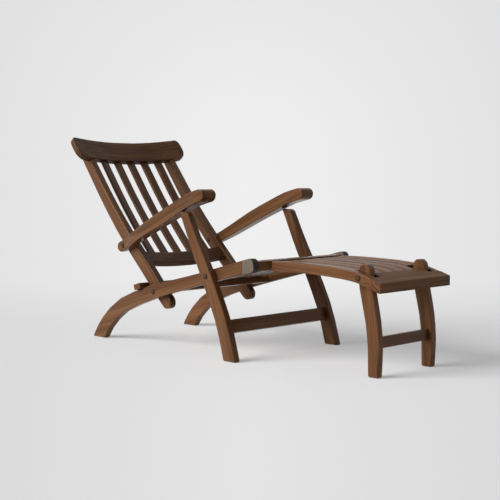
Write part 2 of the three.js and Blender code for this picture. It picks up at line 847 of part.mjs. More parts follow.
const hinge = new THREE.Vector2(railReach + hingeAhead, hingeLevel);
const footFrame = frameAt(hinge.x, hinge.y);
const footrestStations = member(footrestStationShares, footrestReach, footrestFall, footrestDepth)
  .map((each) => ({ ...each, x: each.x + footrestAhead, z: each.z + footrestLift }));
const footrestTop = edgeOf(footrestStations, 1);
const footrestLine = edgeOf(footrestStations, 0);
const footrestUnderside = edgeOf(footrestStations, -1);
const footrestEnd = footrestAhead + footrestReach;
const footPivot = edgeAt(footrestLine, footrestAhead + footLegPivotShare * footrestReach).place;
const footPivotHeight = hingeLevel + footPivot.y;
const endBoardStart = footrestEnd - endBoardShare * footrestReach;
const lipStart = footrestEnd - endBoardLip;

function footrestSlatStations(end, room) {
  return slatStations(
    footrestTop,
    footrestAhead + footrestSlatStart - room,
    end + room,
    footrestSlatDrop - room,
    slatThickness + 2 * room,
  );
}

const footrestSlatEnd = endBoardStart + endBoardSeat;
const footrestSlatUnderside = edgeOf(footrestSlatStations(footrestSlatEnd, 0), -1);

function footrestCross(along) {
  return crossUnderSlats(
    footrestSlatUnderside,
    along,
    footrestCrossDepth,
    footrestCrossHeight,
    footrestInner,
  );
}

const footrestRearRail = footrestCross(footrestAhead + footrestCrossDepth / 2);
const footrestMidRail = footrestCross(footrestAhead + footrestMidRailPlace);
const lipZone = reachBlock(lipStart - seatGap, footrestEnd + cutOverrun, -footrestReach, footrestReach);

// Room for the round tops of the legs
const legTopReach = footLegRise + footLegDepth / 2 - footPivotHeight;
const shortSlatEnd = footPivot.x - footLegDepth / 2 - footLegFoldRoom;
const legTopRoom = sides.map(([, side]) => {
  const depth = 2 * (legTopReach + footLegClearance);
  const width = footLegThickness + 2 * footLegClearance;
  const middle = (side * (footLegInner + footLegOuter)) / 2;
  return solidOf(placed(block(depth, width, footrestReach), footPivot.x, middle, footPivot.y));
});

function footrestSlat(middle, room) {
  const overLeg = Math.abs(middle) + footrestSlatWidth / 2 > footLegInner;
  const stations = footrestSlatStations(overLeg ? shortSlatEnd : footrestSlatEnd, room);
  return slatBoard(stations, middle, footrestSlatWidth + 2 * room);
}

// Board across the foot end, between the rails and then over their ends
function endBoard() {
  const insideEnd = footrestEnd - barEase;
  const inside = slatStations(
    footrestTop,
    endBoardStart,
    insideEnd,
    0,
    endBoardThickness,
    endBoardSteps,
  );
  const plate = solidOf(board(inside, seatGap - footrestInner, footrestInner - seatGap, barEase));
  const middle = footrestEnd - endBoardLip / 2;
  const { place, direction } = edgeAt(footrestTop, middle);
  const height = place.y - edgeAt(footrestUnderside, middle).place.y;
  const slope = direction.y / direction.x;
  const shear = new THREE.Matrix4().set(1, 0, 0, 0, 0, 1, 0, 0, slope, 0, 1, 0, 0, 0, 0, 1);
  const lip = bar(endBoardLip, height, footrestHalfWidth, barEase).applyMatrix4(shear);
  return plate.add(solidOf(placed(lip, middle, 0, place.y - height / 2)));
}

const footrestSlatMiddles = spread(footrestSlatCount, footrestSlatPitch);
const footrestHousings = footrestSlatMiddles.map((middle) => solidOf(footrestSlat(middle, seatGap)));
for (const [name, side] of sides) {
  const rail = solidOf(sideBoard(footrestStations, side, footrestInner, footrestHalfWidth, boardEase));
  const sockets = [footrestRearRail.sockets, footrestMidRail.sockets];
  const cuts = [lipZone, bore(footPivot.x, footPivot.y), ...sockets];
  addPiece(footFrame, `footrest_rail_${name}`, cutAway(rail, cuts), walnut);
}
addPiece(footFrame, 'footrest_rear_rail', footrestRearRail.solid, walnut);
addPiece(footFrame, 'footrest_mid_rail', footrestMidRail.solid, walnut);
const endBoardCuts = [...footrestHousings, ...legTopRoom];
addPiece(footFrame, 'footrest_end_board', cutAway(endBoard(), endBoardCuts), walnut);
footrestSlatMiddles.forEach((middle, i) => {
  addPiece(footFrame, `footrest_slat_${i + 1}`, footrestSlat(middle, 0), walnut);
});
for (const [name, side] of sides) {
  const footBolt = boltThrough(side, footLegInner, footrestHalfWidth, footPivot.x, footPivot.y);
  addPiece(footFrame, `footrest_leg_bolt_${name}`, footBolt, darkSteel);
}

// Lift-off hinges: a pinned leaf on the seat and a bored leaf on the footrest

function knuckle(axis, middle, width, radius) {
  const barrel = new THREE.CylinderGeometry(radius, radius, width, roundSteps);
  return solidOf(placed(barrel, axis.x, middle, axis.y));
}

// Leaf on a face at a given distance from its axis, with a web to its knuckle; the
// face looks rearward or forward, and the knuckle takes one half of the width
function hingeLeaf(axis, face, looks, middle, half) {
  const knuckleWidth = hingeWidth / 2 - sideGap;
  const knuckleMiddle = middle + (half * hingeWidth) / 4;
  const plateX = face + looks * (leafThickness / 2 + seatGap);
  const leaf = block(leafThickness, hingeWidth, leafHeight);
  const web = block(Math.abs(plateX), knuckleWidth, leafThickness);
  return solidOf(placed(leaf, axis.x + plateX, middle, axis.y + leafRaise))
    .add(solidOf(placed(web, axis.x + plateX / 2, knuckleMiddle, axis.y)))
    .add(knuckle(axis, knuckleMiddle, knuckleWidth, knuckleRadius));
}

const ownAxis = new THREE.Vector2(0, 0);
const seatFace = -hingeAhead - seatFrontRailSetback;
for (const [name, side] of sides) {
  const middle = side * hingePlace;
  const pin = knuckle(hinge, middle, hingeWidth - 2 * leafThickness, pinRadius);
  const fixed = hingeLeaf(hinge, seatFace, 1, middle, -1).add(pin);
  addPiece(seatFrame, `hinge_seat_leaf_${name}`, fixed, darkSteel);
  const moving = hingeLeaf(ownAxis, footrestAhead, -1, middle, 1).subtract(bore(0, 0, pinRadius));
  addPiece(footFrame, `hinge_footrest_leaf_${name}`, moving, darkSteel);
}

// Footrest legs, in their own frame at their pivot

const footLegFrame = frameAt(hinge.x + footPivot.x, footPivotHeight);
const footLegStations = legAbout(
  footLegStationShares,
  footLegRun,
  footLegRise,
  footLegDepth,
  footPivotHeight,
  footLegDepth / 2,
);
const footStretcher = legStretcher(
  footLegStations,
  footPivotHeight,
  footStretcherLevel,
  footStretcherThickness,
  footStretcherHeight,
  footLegInner,
);
for (const [name, side] of sides) {
  const blank = solidOf(sideBoard(footLegStations, side, footLegInner, footLegOuter, boardEase));
  const cuts = [belowFloor(footPivotHeight), bore(0, 0), footStretcher.sockets];
  addPiece(footLegFrame, `footrest_leg_${name}`, cutAway(blank, cuts), walnut);
}
addPiece(footLegFrame, 'footrest_leg_stretcher', footStretcher.solid, walnut);

// The origin is under the middle of the chair, on the floor
const extent = new THREE.Box3().setFromObject(chair, true);
const middleOfChair = extent.getCenter(new THREE.Vector3());
chair.position.set(-middleOfChair.x, -middleOfChair.y, -extent.min.z);

export default chair;
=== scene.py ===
import json
import math

import bmesh
import bpy
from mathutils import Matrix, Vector


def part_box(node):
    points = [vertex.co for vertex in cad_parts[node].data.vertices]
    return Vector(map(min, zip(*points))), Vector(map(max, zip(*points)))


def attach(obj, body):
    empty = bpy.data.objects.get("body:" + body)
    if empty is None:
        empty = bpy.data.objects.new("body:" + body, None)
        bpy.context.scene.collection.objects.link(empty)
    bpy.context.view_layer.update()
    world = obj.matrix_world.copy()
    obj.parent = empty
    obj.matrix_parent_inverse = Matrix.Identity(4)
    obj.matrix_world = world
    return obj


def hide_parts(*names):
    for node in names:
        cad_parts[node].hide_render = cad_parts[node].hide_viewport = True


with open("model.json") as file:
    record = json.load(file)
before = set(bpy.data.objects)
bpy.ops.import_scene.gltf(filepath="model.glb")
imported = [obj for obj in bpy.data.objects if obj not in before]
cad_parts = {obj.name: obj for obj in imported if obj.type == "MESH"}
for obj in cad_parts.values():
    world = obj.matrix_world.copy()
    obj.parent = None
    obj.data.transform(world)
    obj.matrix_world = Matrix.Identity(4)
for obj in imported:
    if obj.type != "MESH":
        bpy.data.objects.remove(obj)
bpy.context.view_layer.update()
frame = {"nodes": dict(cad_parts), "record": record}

# Looks of a wooden steamer deck chair, laid out as an add-on: operators dress the wood and
# steel and make the stage from the settings in the property groups. Metres.

bl_info = {
    "name": "Deck Chair Looks",
    "version": (1, 0, 0),
    "blender": (4, 5, 0),
    "location": "View3D > Sidebar > Deck Chair",
    "description": "Walnut, steel and studio for a folding deck chair",
    "category": "Object",
}

nodes = frame["nodes"]
body_of = {
    name: body
    for body, names in frame["record"]["behaviour"]["bodies"].items()
    for name in names
}


# Settings

class WalnutSettings(bpy.types.PropertyGroup):
    light: bpy.props.FloatVectorProperty(
        name="Light wood", description="Colour of the early wood",
        subtype="COLOR", size=3, min=0, max=1, default=(0.150, 0.0680, 0.0275))
    dark: bpy.props.FloatVectorProperty(
        name="Dark wood", description="Colour of the late wood",
        subtype="COLOR", size=3, min=0, max=1, default=(0.041, 0.0152, 0.0048))
    red: bpy.props.FloatVectorProperty(
        name="Red wood", description="Colour of the redder patches",
        subtype="COLOR", size=3, min=0, max=1, default=(0.125, 0.045, 0.0175))
    # Lighter colour of the rubbed edges, which also paints highlights along the edges
    worn_and_highlit: bpy.props.FloatVectorProperty(
        name="Worn edge", description="Colour of the wood where the oil is rubbed thin",
        subtype="COLOR", size=3, min=0, max=1, default=(0.24, 0.125, 0.062))
    ring: bpy.props.FloatProperty(
        name="Ring width", description="Distance between growth rings",
        subtype="DISTANCE", unit="LENGTH", min=0.001, max=0.05, default=0.013)
    finish: bpy.props.FloatProperty(
        name="Finish roughness", description="Roughness of the oiled finish",
        subtype="FACTOR", min=0, max=1, default=0.20)


class SteelSettings(bpy.types.PropertyGroup):
    bolt: bpy.props.FloatVectorProperty(
        name="Bolt heads", description="Colour of the browned heads and nuts of the bolts",
        subtype="COLOR", size=3, min=0, max=1, default=(0.052, 0.032, 0.021))
    # Near-black steel of the washers and hinges; on the washers it also paints the shadow ring
    # around each bolt head
    black_and_ring_shadow: bpy.props.FloatVectorProperty(
        name="Black steel", description="Colour of washers and hinges",
        subtype="COLOR", size=3, min=0, max=1, default=(0.020, 0.016, 0.013))
    # The shoes' sides are paler than their nose, top and bottom: painted light on the sides and
    # painted shade on the rest
    shoe: bpy.props.FloatVectorProperty(
        name="Shoe side", description="Colour of the paler sides of the shoes on the rail ends",
        subtype="COLOR", size=3, min=0, max=1, default=(0.128, 0.103, 0.080))
    nose: bpy.props.FloatVectorProperty(
        name="Shoe nose", description="Colour of the shaded nose, top and bottom of the shoes",
        subtype="COLOR", size=3, min=0, max=1, default=(0.042, 0.033, 0.027))
    washer_radius: bpy.props.FloatProperty(
        name="Washer radius", description="Outer radius of the washers",
        subtype="DISTANCE", unit="LENGTH", min=0.005, max=0.02, default=0.0100)
    washer_height: bpy.props.FloatProperty(
        name="Washer height", description="Thickness of the washers",
        subtype="DISTANCE", unit="LENGTH", min=0.0005, max=0.004, default=0.0012)


class StageSettings(bpy.types.PropertyGroup):
    floor: bpy.props.FloatVectorProperty(
        name="Floor", description="Colour of the floor",
        subtype="COLOR", size=3, min=0, max=1, default=(0.90, 0.90, 0.90))
    # The backdrop is painted brighter in its middle than at its corners, as a falloff of light
    backdrop: bpy.props.FloatVectorProperty(
        name="Backdrop", description="Colour of the backdrop behind the chair",
        subtype="COLOR", size=3, min=0, max=1, default=(0.875, 0.875, 0.875))
    corners: bpy.props.FloatVectorProperty(
        name="Corners", description="Colour of the backdrop away from its middle",
        subtype="COLOR", size=3, min=0, max=1, default=(0.70, 0.70, 0.70))
    # The glow paints a pool of light on the floor around and behind the chair, and the floor
    # sides colour is its painted falloff
    glow: bpy.props.FloatVectorProperty(
        name="Glow", description="Colour that lifts the floor around the chair",
        subtype="COLOR", size=3, min=0, max=1, default=(0.99, 0.99, 0.99))
    sides: bpy.props.FloatVectorProperty(
        name="Floor sides", description="Colour that the glow fades to beside the chair",
        subtype="COLOR", size=3, min=0, max=1, default=(0.60, 0.60, 0.60))
    sun: bpy.props.FloatProperty(
        name="Window light", description="Strength of the broad light on the left",
        subtype="FACTOR", min=0, max=10, default=4.1)
    ambient: bpy.props.FloatProperty(
        name="Ambient", description="Strength of the room's even light",
        subtype="FACTOR", min=0, max=2, default=0.18)


# Node building

FLOAT, COLOR, VECTOR = "NodeSocketFloat", "NodeSocketColor", "NodeSocketVector"
GEOMETRY = "NodeSocketGeometry"

# Places of the colour sockets of a Mix node and of the vector sockets of a Compare node
MIX_SHARE, MIX_FIRST, MIX_SECOND, MIX_RESULT = 0, 6, 7, 2
COMPARE_FIRST, COMPARE_SECOND = 4, 5

NOISE_ROUGHNESS = 0.55


class Graph:
    """A node tree with short calls for adding and linking nodes"""

    def __init__(self, tree):
        self.tree = tree

    def add(self, kind, inputs=None, **settings):
        node = self.tree.nodes.new(kind)
        for name, value in settings.items():
            setattr(node, name, value)
        for socket, value in (inputs or {}).items():
            self.feed(node.inputs[socket], value)
        return node

    def feed(self, socket, value):
        if isinstance(value, bpy.types.NodeSocket):
            self.tree.links.new(value, socket)
        else:
            socket.default_value = value

    def math(self, operation, *values, clamp=False):
        node = self.add("ShaderNodeMath", operation=operation, use_clamp=clamp)
        for socket, value in zip(node.inputs, values):
            self.feed(socket, value)
        return node.outputs[0]

    def vector_math(self, operation, *vectors):
        return self.add("ShaderNodeVectorMath", dict(enumerate(vectors)), operation=operation)

    def weighed(self, first, first_weight, second, second_weight):
        """The sum of two values, each times its weight"""
        return self.math(
            "ADD",
            self.math("MULTIPLY", first, first_weight),
            self.math("MULTIPLY", second, second_weight))

    def noise(self, vector, scale, detail=3.0):
        return self.add("ShaderNodeTexNoise", {
            "Vector": vector, "Scale": scale, "Detail": detail, "Roughness": NOISE_ROUGHNESS,
        }).outputs["Fac"]

    def streaks(self, vector, waves, detail=3.0):
        """Noise with its own number of waves per metre along each axis"""
        return self.noise(self.vector_math("MULTIPLY", vector, waves).outputs[0], 1.0, detail)

    def ramp(self, value, low, high, start=0.0, end=1.0):
        """Runs smoothly from start to end while the value runs from low to high"""
        return self.add("ShaderNodeMapRange", {
            "Value": value, "From Min": low, "From Max": high, "To Min": start, "To Max": end,
        }, interpolation_type="SMOOTHSTEP").outputs["Result"]

    def mix(self, share, first, second, blend="MIX"):
        node = self.add(
            "ShaderNodeMix", {MIX_SHARE: share, MIX_FIRST: first, MIX_SECOND: second},
            data_type="RGBA", blend_type=blend)
        return node.outputs[MIX_RESULT]

    def texture_place(self, kind="Object"):
        return self.add("ShaderNodeTexCoord").outputs[kind]

    def turned(self, vector, turn):
        """The vector seen by a board that is turned by three angles"""
        return self.add(
            "ShaderNodeMapping", {"Vector": vector, "Rotation": turn},
            vector_type="TEXTURE").outputs[0]

    def chance(self):
        """A random number of each piece's own"""
        return self.add("ShaderNodeObjectInfo").outputs["Random"]

    def axis(self, vector, number):
        return self.add("ShaderNodeSeparateXYZ", {0: vector}).outputs[number]

    def bump(self, height, strength, distance):
        return self.add("ShaderNodeBump", {
            "Height": height, "Strength": strength, "Distance": distance}).outputs[0]


def new_group(name, inputs, outputs):
    """A shader node group with named sockets, and its input and output nodes"""
    tree = bpy.data.node_groups.new(name, "ShaderNodeTree")
    for way, sockets in (("INPUT", inputs), ("OUTPUT", outputs)):
        for socket, kind in sockets:
            tree.interface.new_socket(socket, in_out=way, socket_type=kind)
    graph = Graph(tree)
    return graph, graph.add("NodeGroupInput").outputs, graph.add("NodeGroupOutput").inputs


def placed_group(graph, name, maker, values):
    """Places a shader node group, made the first time, and gives its outputs"""
    tree = bpy.data.node_groups.get(name) or maker(name)
    return graph.add("ShaderNodeGroup", values, node_tree=tree).outputs


def new_material(name):
    material = bpy.data.materials.new(name)
    material.use_nodes = True
    return material, Graph(material.node_tree), material.node_tree.nodes["Principled BSDF"]


# Wood and steel

# Waves per metre along and across a board
SWAY_WAVES = (1.4, 6.0, 6.0)
FINE_WAVES = (4.0, 260.0, 260.0)
STREAK_WAVES = (2.2, 84.0, 84.0)
BROAD_WAVES = (1.1, 20.0, 20.0)
PORE_WAVES = (60.0, 1500.0, 1500.0)
RED_WAVES = (2.6, 26.0, 26.0)
WEAR_WAVES = (30.0, 60.0, 60.0)
BRUSH_WAVES = (60.0, 900.0, 900.0)
BLOTCH_WAVES = 120.0

# Part of each layer in how dark the grain is
RING_SHARE = 0.13
FINE_SHARE = 0.17
STREAK_SHARE = 0.36
BROAD_SHARE = 0.34

# Noise or shade where each ramp starts and where it is full
LAYER_BOUNDS = (0.3, 0.7)
SHADE_BOUNDS = (0.02, 0.98)
PORE_BOUNDS = (0.60, 0.74)
RED_BOUNDS = (0.45, 0.7)
PATCH_BOUNDS = (0.38, 0.66)

# Part of the face's normal that points along or across where its end or side colour starts
END_BOUNDS = (0.75, 0.92)
SIDE_BOUNDS = (0.7, 0.9)

# Likeness of the rounded and the true normal where the rub starts and where it is full
RUB_BOUNDS = (0.985, 0.86)

SWAY = 0.10
RING_START = 0.1
RING_PEAK = 0.8
END_RING_DEPTH = 0.36
END_LIGHTENING = -0.14
END_REDNESS = 0.6
PORE_DARKNESS = 0.4

# What the layers add to the roughness and to the height
STREAK_ROUGHNESS = 0.14
PORE_ROUGHNESS = 0.14
FINE_HEIGHT = 0.5
PORE_DEPTH = 0.8
RING_DEPTH = 0.12

# A board's place in its tree: how far it is moved along, and its distance from the heart
BOARD_SHIFT = 7.0
HEART_LEAST = (0.06, 0.09)
HEART_SPREAD = (0.35, 0.2)
TONE_SPREAD = 0.14

# Multiples of a piece's random number whose fractions are random numbers of their own
HEART_DRAW = 9.0
TONE_DRAW = 5.0

# Radius and strength of the rubbed edges, whose lighter colour on the wood also paints highlights
# along the edges, and strength and depth of the bumps
WOOD_WEAR_AND_HIGHLIGHT = {"Radius": 0.003, "Amount": 0.28}
STEEL_WEAR = {"Radius": 0.0012, "Amount": 0.5}
WOOD_BUMP = (0.2, 0.0005)
STEEL_BUMP = (0.06, 0.0003)

WORN_ROUGHNESS = 0.15
WOOD_SHEEN = 0.38
WOOD_SHEEN_TINT = (0.55, 0.38, 0.27, 1)
STEEL_SHEEN = 0.12
BLOTCH_DIMMEST = 0.93
BRUSH_ROUGHNESS = 0.12
BRUSH_MEAN = 0.05
RUB_GAIN = 1.7
RUB_LIFT = 0.02

# Roughness and metallic share of the steel's finishes
BLACKENED = (0.44, 0.1)
SHOE_FINISH = (0.42, 0.2)


def grain_group(name):
    """Streaks, growth rings and pores of a board whose length runs along the vector's X"""
    graph, given, result = new_group(
        name,
        [("Vector", VECTOR), ("Ring Width", FLOAT), ("End", FLOAT),
         ("Light", COLOR), ("Dark", COLOR), ("Red", COLOR), ("Tone", FLOAT)],
        [("Color", COLOR), ("Roughness", FLOAT), ("Height", FLOAT)],
    )
    vector = given["Vector"]
    sway = graph.math("SUBTRACT", graph.streaks(vector, SWAY_WAVES, 2.0), 0.5)
    radius = graph.math("SQRT", graph.math(
        "ADD",
        graph.math("POWER", graph.axis(vector, 1), 2.0),
        graph.math("POWER", graph.axis(vector, 2), 2.0)))
    bent = graph.math("ADD", radius, graph.math("MULTIPLY", sway, SWAY))
    phase = graph.math("FRACT", graph.math("DIVIDE", bent, given["Ring Width"]))
    rings = graph.math(
        "MULTIPLY",
        graph.ramp(phase, RING_START, RING_PEAK),
        graph.ramp(phase, RING_PEAK, 1.0, 1.0, 0.0))
    fine = graph.streaks(vector, FINE_WAVES)
    streaks = graph.streaks(vector, STREAK_WAVES)
    broad = graph.streaks(vector, BROAD_WAVES, 2.0)
    pores = graph.ramp(graph.streaks(vector, PORE_WAVES, 1.0), *PORE_BOUNDS)

    shade = graph.math(
        "ADD",
        graph.weighed(rings, RING_SHARE, graph.ramp(fine, *LAYER_BOUNDS), FINE_SHARE),
        graph.weighed(
            graph.ramp(streaks, *LAYER_BOUNDS), STREAK_SHARE,
            graph.ramp(broad, *LAYER_BOUNDS), BROAD_SHARE))
    ringed = graph.math(
        "MULTIPLY", given["End"],
        graph.math("MULTIPLY_ADD", rings, END_RING_DEPTH, END_LIGHTENING))
    streaked = graph.math("ADD", graph.ramp(shade, *SHADE_BOUNDS), ringed)
    toned = graph.math("ADD", streaked, given["Tone"], clamp=True)

    patches = graph.ramp(graph.streaks(vector, RED_WAVES, 2.0), *RED_BOUNDS)
    reddened = graph.math(
        "MAXIMUM", patches, graph.math("MULTIPLY", given["End"], END_REDNESS))
    early = graph.mix(reddened, given["Light"], given["Red"])
    wood = graph.mix(toned, early, given["Dark"])
    filled = graph.math("MULTIPLY", pores, PORE_DARKNESS)
    graph.feed(result["Color"], graph.mix(filled, wood, given["Dark"]))
    graph.feed(
        result["Roughness"], graph.weighed(streaks, STREAK_ROUGHNESS, pores, PORE_ROUGHNESS))
    graph.feed(result["Height"], graph.math(
        "SUBTRACT",
        graph.math("MULTIPLY", fine, FINE_HEIGHT),
        graph.weighed(pores, PORE_DEPTH, rings, RING_DEPTH)))
    return graph.tree


def wear_and_highlight_group(name):
    """Mask of rubbed edges, broken up by noise, which on the wood also places painted highlights
    along the edges
    """
    graph, given, result = new_group(
        name, [("Vector", VECTOR), ("Radius", FLOAT), ("Amount", FLOAT)], [("Mask", FLOAT)])
    rounded = graph.add("ShaderNodeBevel", {"Radius": given["Radius"]}, samples=4)
    true_normal = graph.add("ShaderNodeNewGeometry").outputs["Normal"]
    likeness = graph.vector_math("DOT_PRODUCT", rounded.outputs[0], true_normal).outputs["Value"]
    edge = graph.ramp(likeness, *RUB_BOUNDS)
    patch = graph.ramp(graph.streaks(given["Vector"], WEAR_WAVES), *PATCH_BOUNDS)
    graph.feed(result["Mask"], graph.math(
        "MULTIPLY", graph.math("MULTIPLY", edge, patch), given["Amount"], clamp=True))
    return graph.tree


def rubbed_and_highlit_edges(graph, vector, wear):
    return placed_group(graph, "Rubbed Edges", wear_and_highlight_group, {"Vector": vector, **wear})["Mask"]


def board_vector(graph, turn):
    """Object coordinates turned so that X runs along the board, moved at random by piece"""
    chance = graph.chance()
    drawn = graph.math("FRACT", graph.math("MULTIPLY", chance, HEART_DRAW))
    offset = graph.add("ShaderNodeCombineXYZ", {
        0: graph.math("MULTIPLY", chance, BOARD_SHIFT),
        1: graph.math("MULTIPLY_ADD", chance, HEART_SPREAD[0], HEART_LEAST[0]),
        2: graph.math("MULTIPLY_ADD", drawn, HEART_SPREAD[1], HEART_LEAST[1]),
    }).outputs[0]
    place = graph.turned(graph.texture_place(), turn)
    return graph.vector_math("ADD", place, offset).outputs[0]


def end_share(graph, turn):
    """1 on the sawn ends of a board, and 0 along it"""
    along = graph.axis(graph.turned(graph.texture_place("Normal"), turn), 0)
    return graph.ramp(graph.math("ABSOLUTE", along), *END_BOUNDS)


def wood_material(name, turn, tone=0.0, dull=0.0):
    """Oiled walnut whose grain runs along X turned by three angles"""
    look = bpy.context.scene.deck_walnut
    material, graph, shader = new_material(name)
    vector = board_vector(graph, turn)
    drawn = graph.math("FRACT", graph.math("MULTIPLY", graph.chance(), TONE_DRAW))
    varied = graph.math("MULTIPLY", graph.math("SUBTRACT", drawn, 0.5), TONE_SPREAD)
    grain = placed_group(graph, "Wood Grain", grain_group, {
        "Vector": vector,
        "Ring Width": look.ring,
        "End": end_share(graph, turn),
        "Light": (*look.light, 1),
        "Dark": (*look.dark, 1),
        "Red": (*look.red, 1),
        "Tone": graph.math("ADD", varied, tone),
    })
    # Lighter rubbed edges: wear of the oil, and painted highlights along the edges
    worn_and_highlit = rubbed_and_highlit_edges(graph, vector, WOOD_WEAR_AND_HIGHLIGHT)
    graph.feed(shader.inputs["Base Color"], graph.mix(worn_and_highlit, grain["Color"], (*look.worn_and_highlit, 1)))
    graph.feed(shader.inputs["Roughness"], graph.math(
        "ADD",
        graph.math("ADD", grain["Roughness"], look.finish + dull),
        graph.math("MULTIPLY", worn_and_highlit, WORN_ROUGHNESS)))
    graph.feed(shader.inputs["Normal"], graph.bump(grain["Height"], *WOOD_BUMP))
    shader.inputs["Specular IOR Level"].default_value = WOOD_SHEEN
    shader.inputs["Specular Tint"].default_value = WOOD_SHEEN_TINT
    return material


def steel_material(name, color, roughness, metallic, sides=None):
    """Oiled steel with faint blotches and rubbed edges

    Its faces across Y take the colour of sides, where that is given: painted light on the shoes'
    sides against painted shade on their nose, top and bottom.
    """
    material, graph, shader = new_material(name)
    place = graph.texture_place()
    brushed = graph.streaks(place, BRUSH_WAVES, 2.0)
    plain = (*color, 1)
    # Paler sides and darker other faces: painted light and shade
    if sides:
        across = graph.math("ABSOLUTE", graph.axis(graph.texture_place("Normal"), 1))
        plain = graph.mix(graph.ramp(across, *SIDE_BOUNDS), plain, (*sides, 1))
    blotch = graph.noise(place, BLOTCH_WAVES, 4.0)
    shade = graph.ramp(blotch, *LAYER_BOUNDS, 1.0, BLOTCH_DIMMEST)
    blotches = graph.add("ShaderNodeCombineColor", {0: shade, 1: shade, 2: shade}).outputs[0]
    lighter = tuple(min(1.0, channel * RUB_GAIN + RUB_LIFT) for channel in color)
    graph.feed(shader.inputs["Base Color"], graph.mix(
        rubbed_and_highlit_edges(graph, place, STEEL_WEAR),
        graph.mix(1.0, plain, blotches, "MULTIPLY"),
        (*lighter, 1)))
    graph.feed(shader.inputs["Roughness"], graph.math(
        "ADD", graph.math("MULTIPLY", brushed, BRUSH_ROUGHNESS), roughness - BRUSH_MEAN))
    graph.feed(shader.inputs["Normal"], graph.bump(brushed, *STEEL_BUMP))
    shader.inputs["Metallic"].default_value = metallic
    shader.inputs["Specular IOR Level"].default_value = STEEL_SHEEN
    return material


# Dressing of CAD nodes

WEIGHTS = "bevel_weight_edge"
WELD = 0.00002
FLAT_WITHIN = math.radians(0.4)
SHARP_ABOVE = math.radians(40)
SMOOTH_BELOW = math.radians(50)
EDGE_EASE = 0.0024
FOOT_EASE = 0.008
FOOT_HEIGHT = 0.001
EASE_STEPS = 4
JOINT_MARGIN = 0.002


def geometry_group(name, fill, vectors=()):
    """A geometry node group, made once, that fill adds all nodes to and gives the last of"""
    if name in bpy.data.node_groups:
        return bpy.data.node_groups[name]
    tree = bpy.data.node_groups.new(name, "GeometryNodeTree")
    tree.interface.new_socket("Geometry", in_out="INPUT", socket_type=GEOMETRY)
    for vector in vectors:
        tree.interface.new_socket(vector, in_out="INPUT", socket_type=VECTOR)
    tree.interface.new_socket("Geometry", in_out="OUTPUT", socket_type=GEOMETRY)
    graph = Graph(tree)
    last = fill(graph, graph.add("NodeGroupInput").outputs)
    graph.feed(graph.add("NodeGroupOutput").inputs[0], last.outputs[0])
    return tree


def edge_angle(graph):
    return graph.add("GeometryNodeInputMeshEdgeAngle").outputs["Unsigned Angle"]


def stored_weight(graph, geometry, value, **selection):
    """Stores the weight that the bevel follows, on the selected edges"""
    return graph.add(
        "GeometryNodeStoreNamedAttribute",
        {"Geometry": geometry, "Name": WEIGHTS, "Value": value, **selection},
        data_type="FLOAT", domain="EDGE")


def smooth_shallow(graph, given):
    """Welds a faceted solid and shades its shallow edges smooth"""
    weld = graph.add(
        "GeometryNodeMergeByDistance", {"Geometry": given["Geometry"], "Distance": WELD})
    faces = graph.add(
        "GeometryNodeSetShadeSmooth", {"Geometry": weld.outputs[0]}, domain="FACE")
    shallow = graph.add(
        "FunctionNodeCompare", {0: edge_angle(graph), 1: SMOOTH_BELOW}, operation="LESS_THAN")
    return graph.add(
        "GeometryNodeSetShadeSmooth",
        {"Geometry": faces.outputs[0], "Shade Smooth": shallow.outputs[0]}, domain="EDGE")


def weigh_sharp(graph, given):
    """Weighs the sharp edges for the bevel, those at the floor the most"""
    sharp = graph.math("GREATER_THAN", edge_angle(graph), SHARP_ABOVE)
    height = graph.axis(graph.add("GeometryNodeInputPosition").outputs[0], 2)
    foot = graph.math("LESS_THAN", height, FOOT_HEIGHT)
    weight = graph.math("MULTIPLY", sharp, graph.math("MAXIMUM", foot, EDGE_EASE / FOOT_EASE))
    return stored_weight(graph, given["Geometry"], weight)


def spare_joint(graph, given):
    """Keeps the edges between two corners sharp, such as those of a mortise"""
    place = graph.add("GeometryNodeInputPosition").outputs[0]
    above, below = [
        graph.add(
            "FunctionNodeCompare", {COMPARE_FIRST: first, COMPARE_SECOND: second},
            data_type="VECTOR", mode="ELEMENT", operation="GREATER_THAN").outputs[0]
        for first, second in ((place, given["Low"]), (given["High"], place))]
    inside = graph.add("FunctionNodeBooleanMath", {0: above, 1: below}, operation="AND")
    return stored_weight(graph, given["Geometry"], 0.0, Selection=inside.outputs[0])


def ease_edges(name, mates):
    """Rounds a node's sharp edges, the most at the floor, but not where its mates enter it"""
    piece = nodes[name]
    piece.modifiers.new("Weld", "WELD").merge_threshold = WELD
    whole = piece.modifiers.new("Whole faces", "DECIMATE")
    whole.decimate_type = "DISSOLVE"
    whole.angle_limit = FLAT_WITHIN
    weighed = piece.modifiers.new("Weigh edges", "NODES")
    weighed.node_group = geometry_group("Weigh Sharp Edges", weigh_sharp)
    for mate in mates:
        spared = piece.modifiers.new("Spare joint", "NODES")
        spared.node_group = geometry_group("Spare Joint Edges", spare_joint, ("Low", "High"))
        keys = {socket.name: socket.identifier
                for socket in spared.node_group.interface.items_tree}
        low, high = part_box(mate)
        margin = Vector((1, 1, 1)) * JOINT_MARGIN
        spared[keys["Low"]] = low - margin
        spared[keys["High"]] = high + margin
    eased = piece.modifiers.new("Eased edges", "BEVEL")
    eased.limit_method = "WEIGHT"
    eased.width = FOOT_EASE
    eased.segments = EASE_STEPS
    eased.use_clamp_overlap = False


def dress(names, material):
    """Gives CAD nodes their material and even shading"""
    for name in names:
        piece = nodes[name]
        piece.data.materials.clear()
        piece.data.materials.append(material)
        smooth = piece.modifiers.new("Smooth edges", "NODES")
        smooth.node_group = geometry_group("Smooth Shallow Edges", smooth_shallow)
        even = piece.modifiers.new("Even normals", "WEIGHTED_NORMAL")
        even.keep_sharp = True
        even.weight = 100


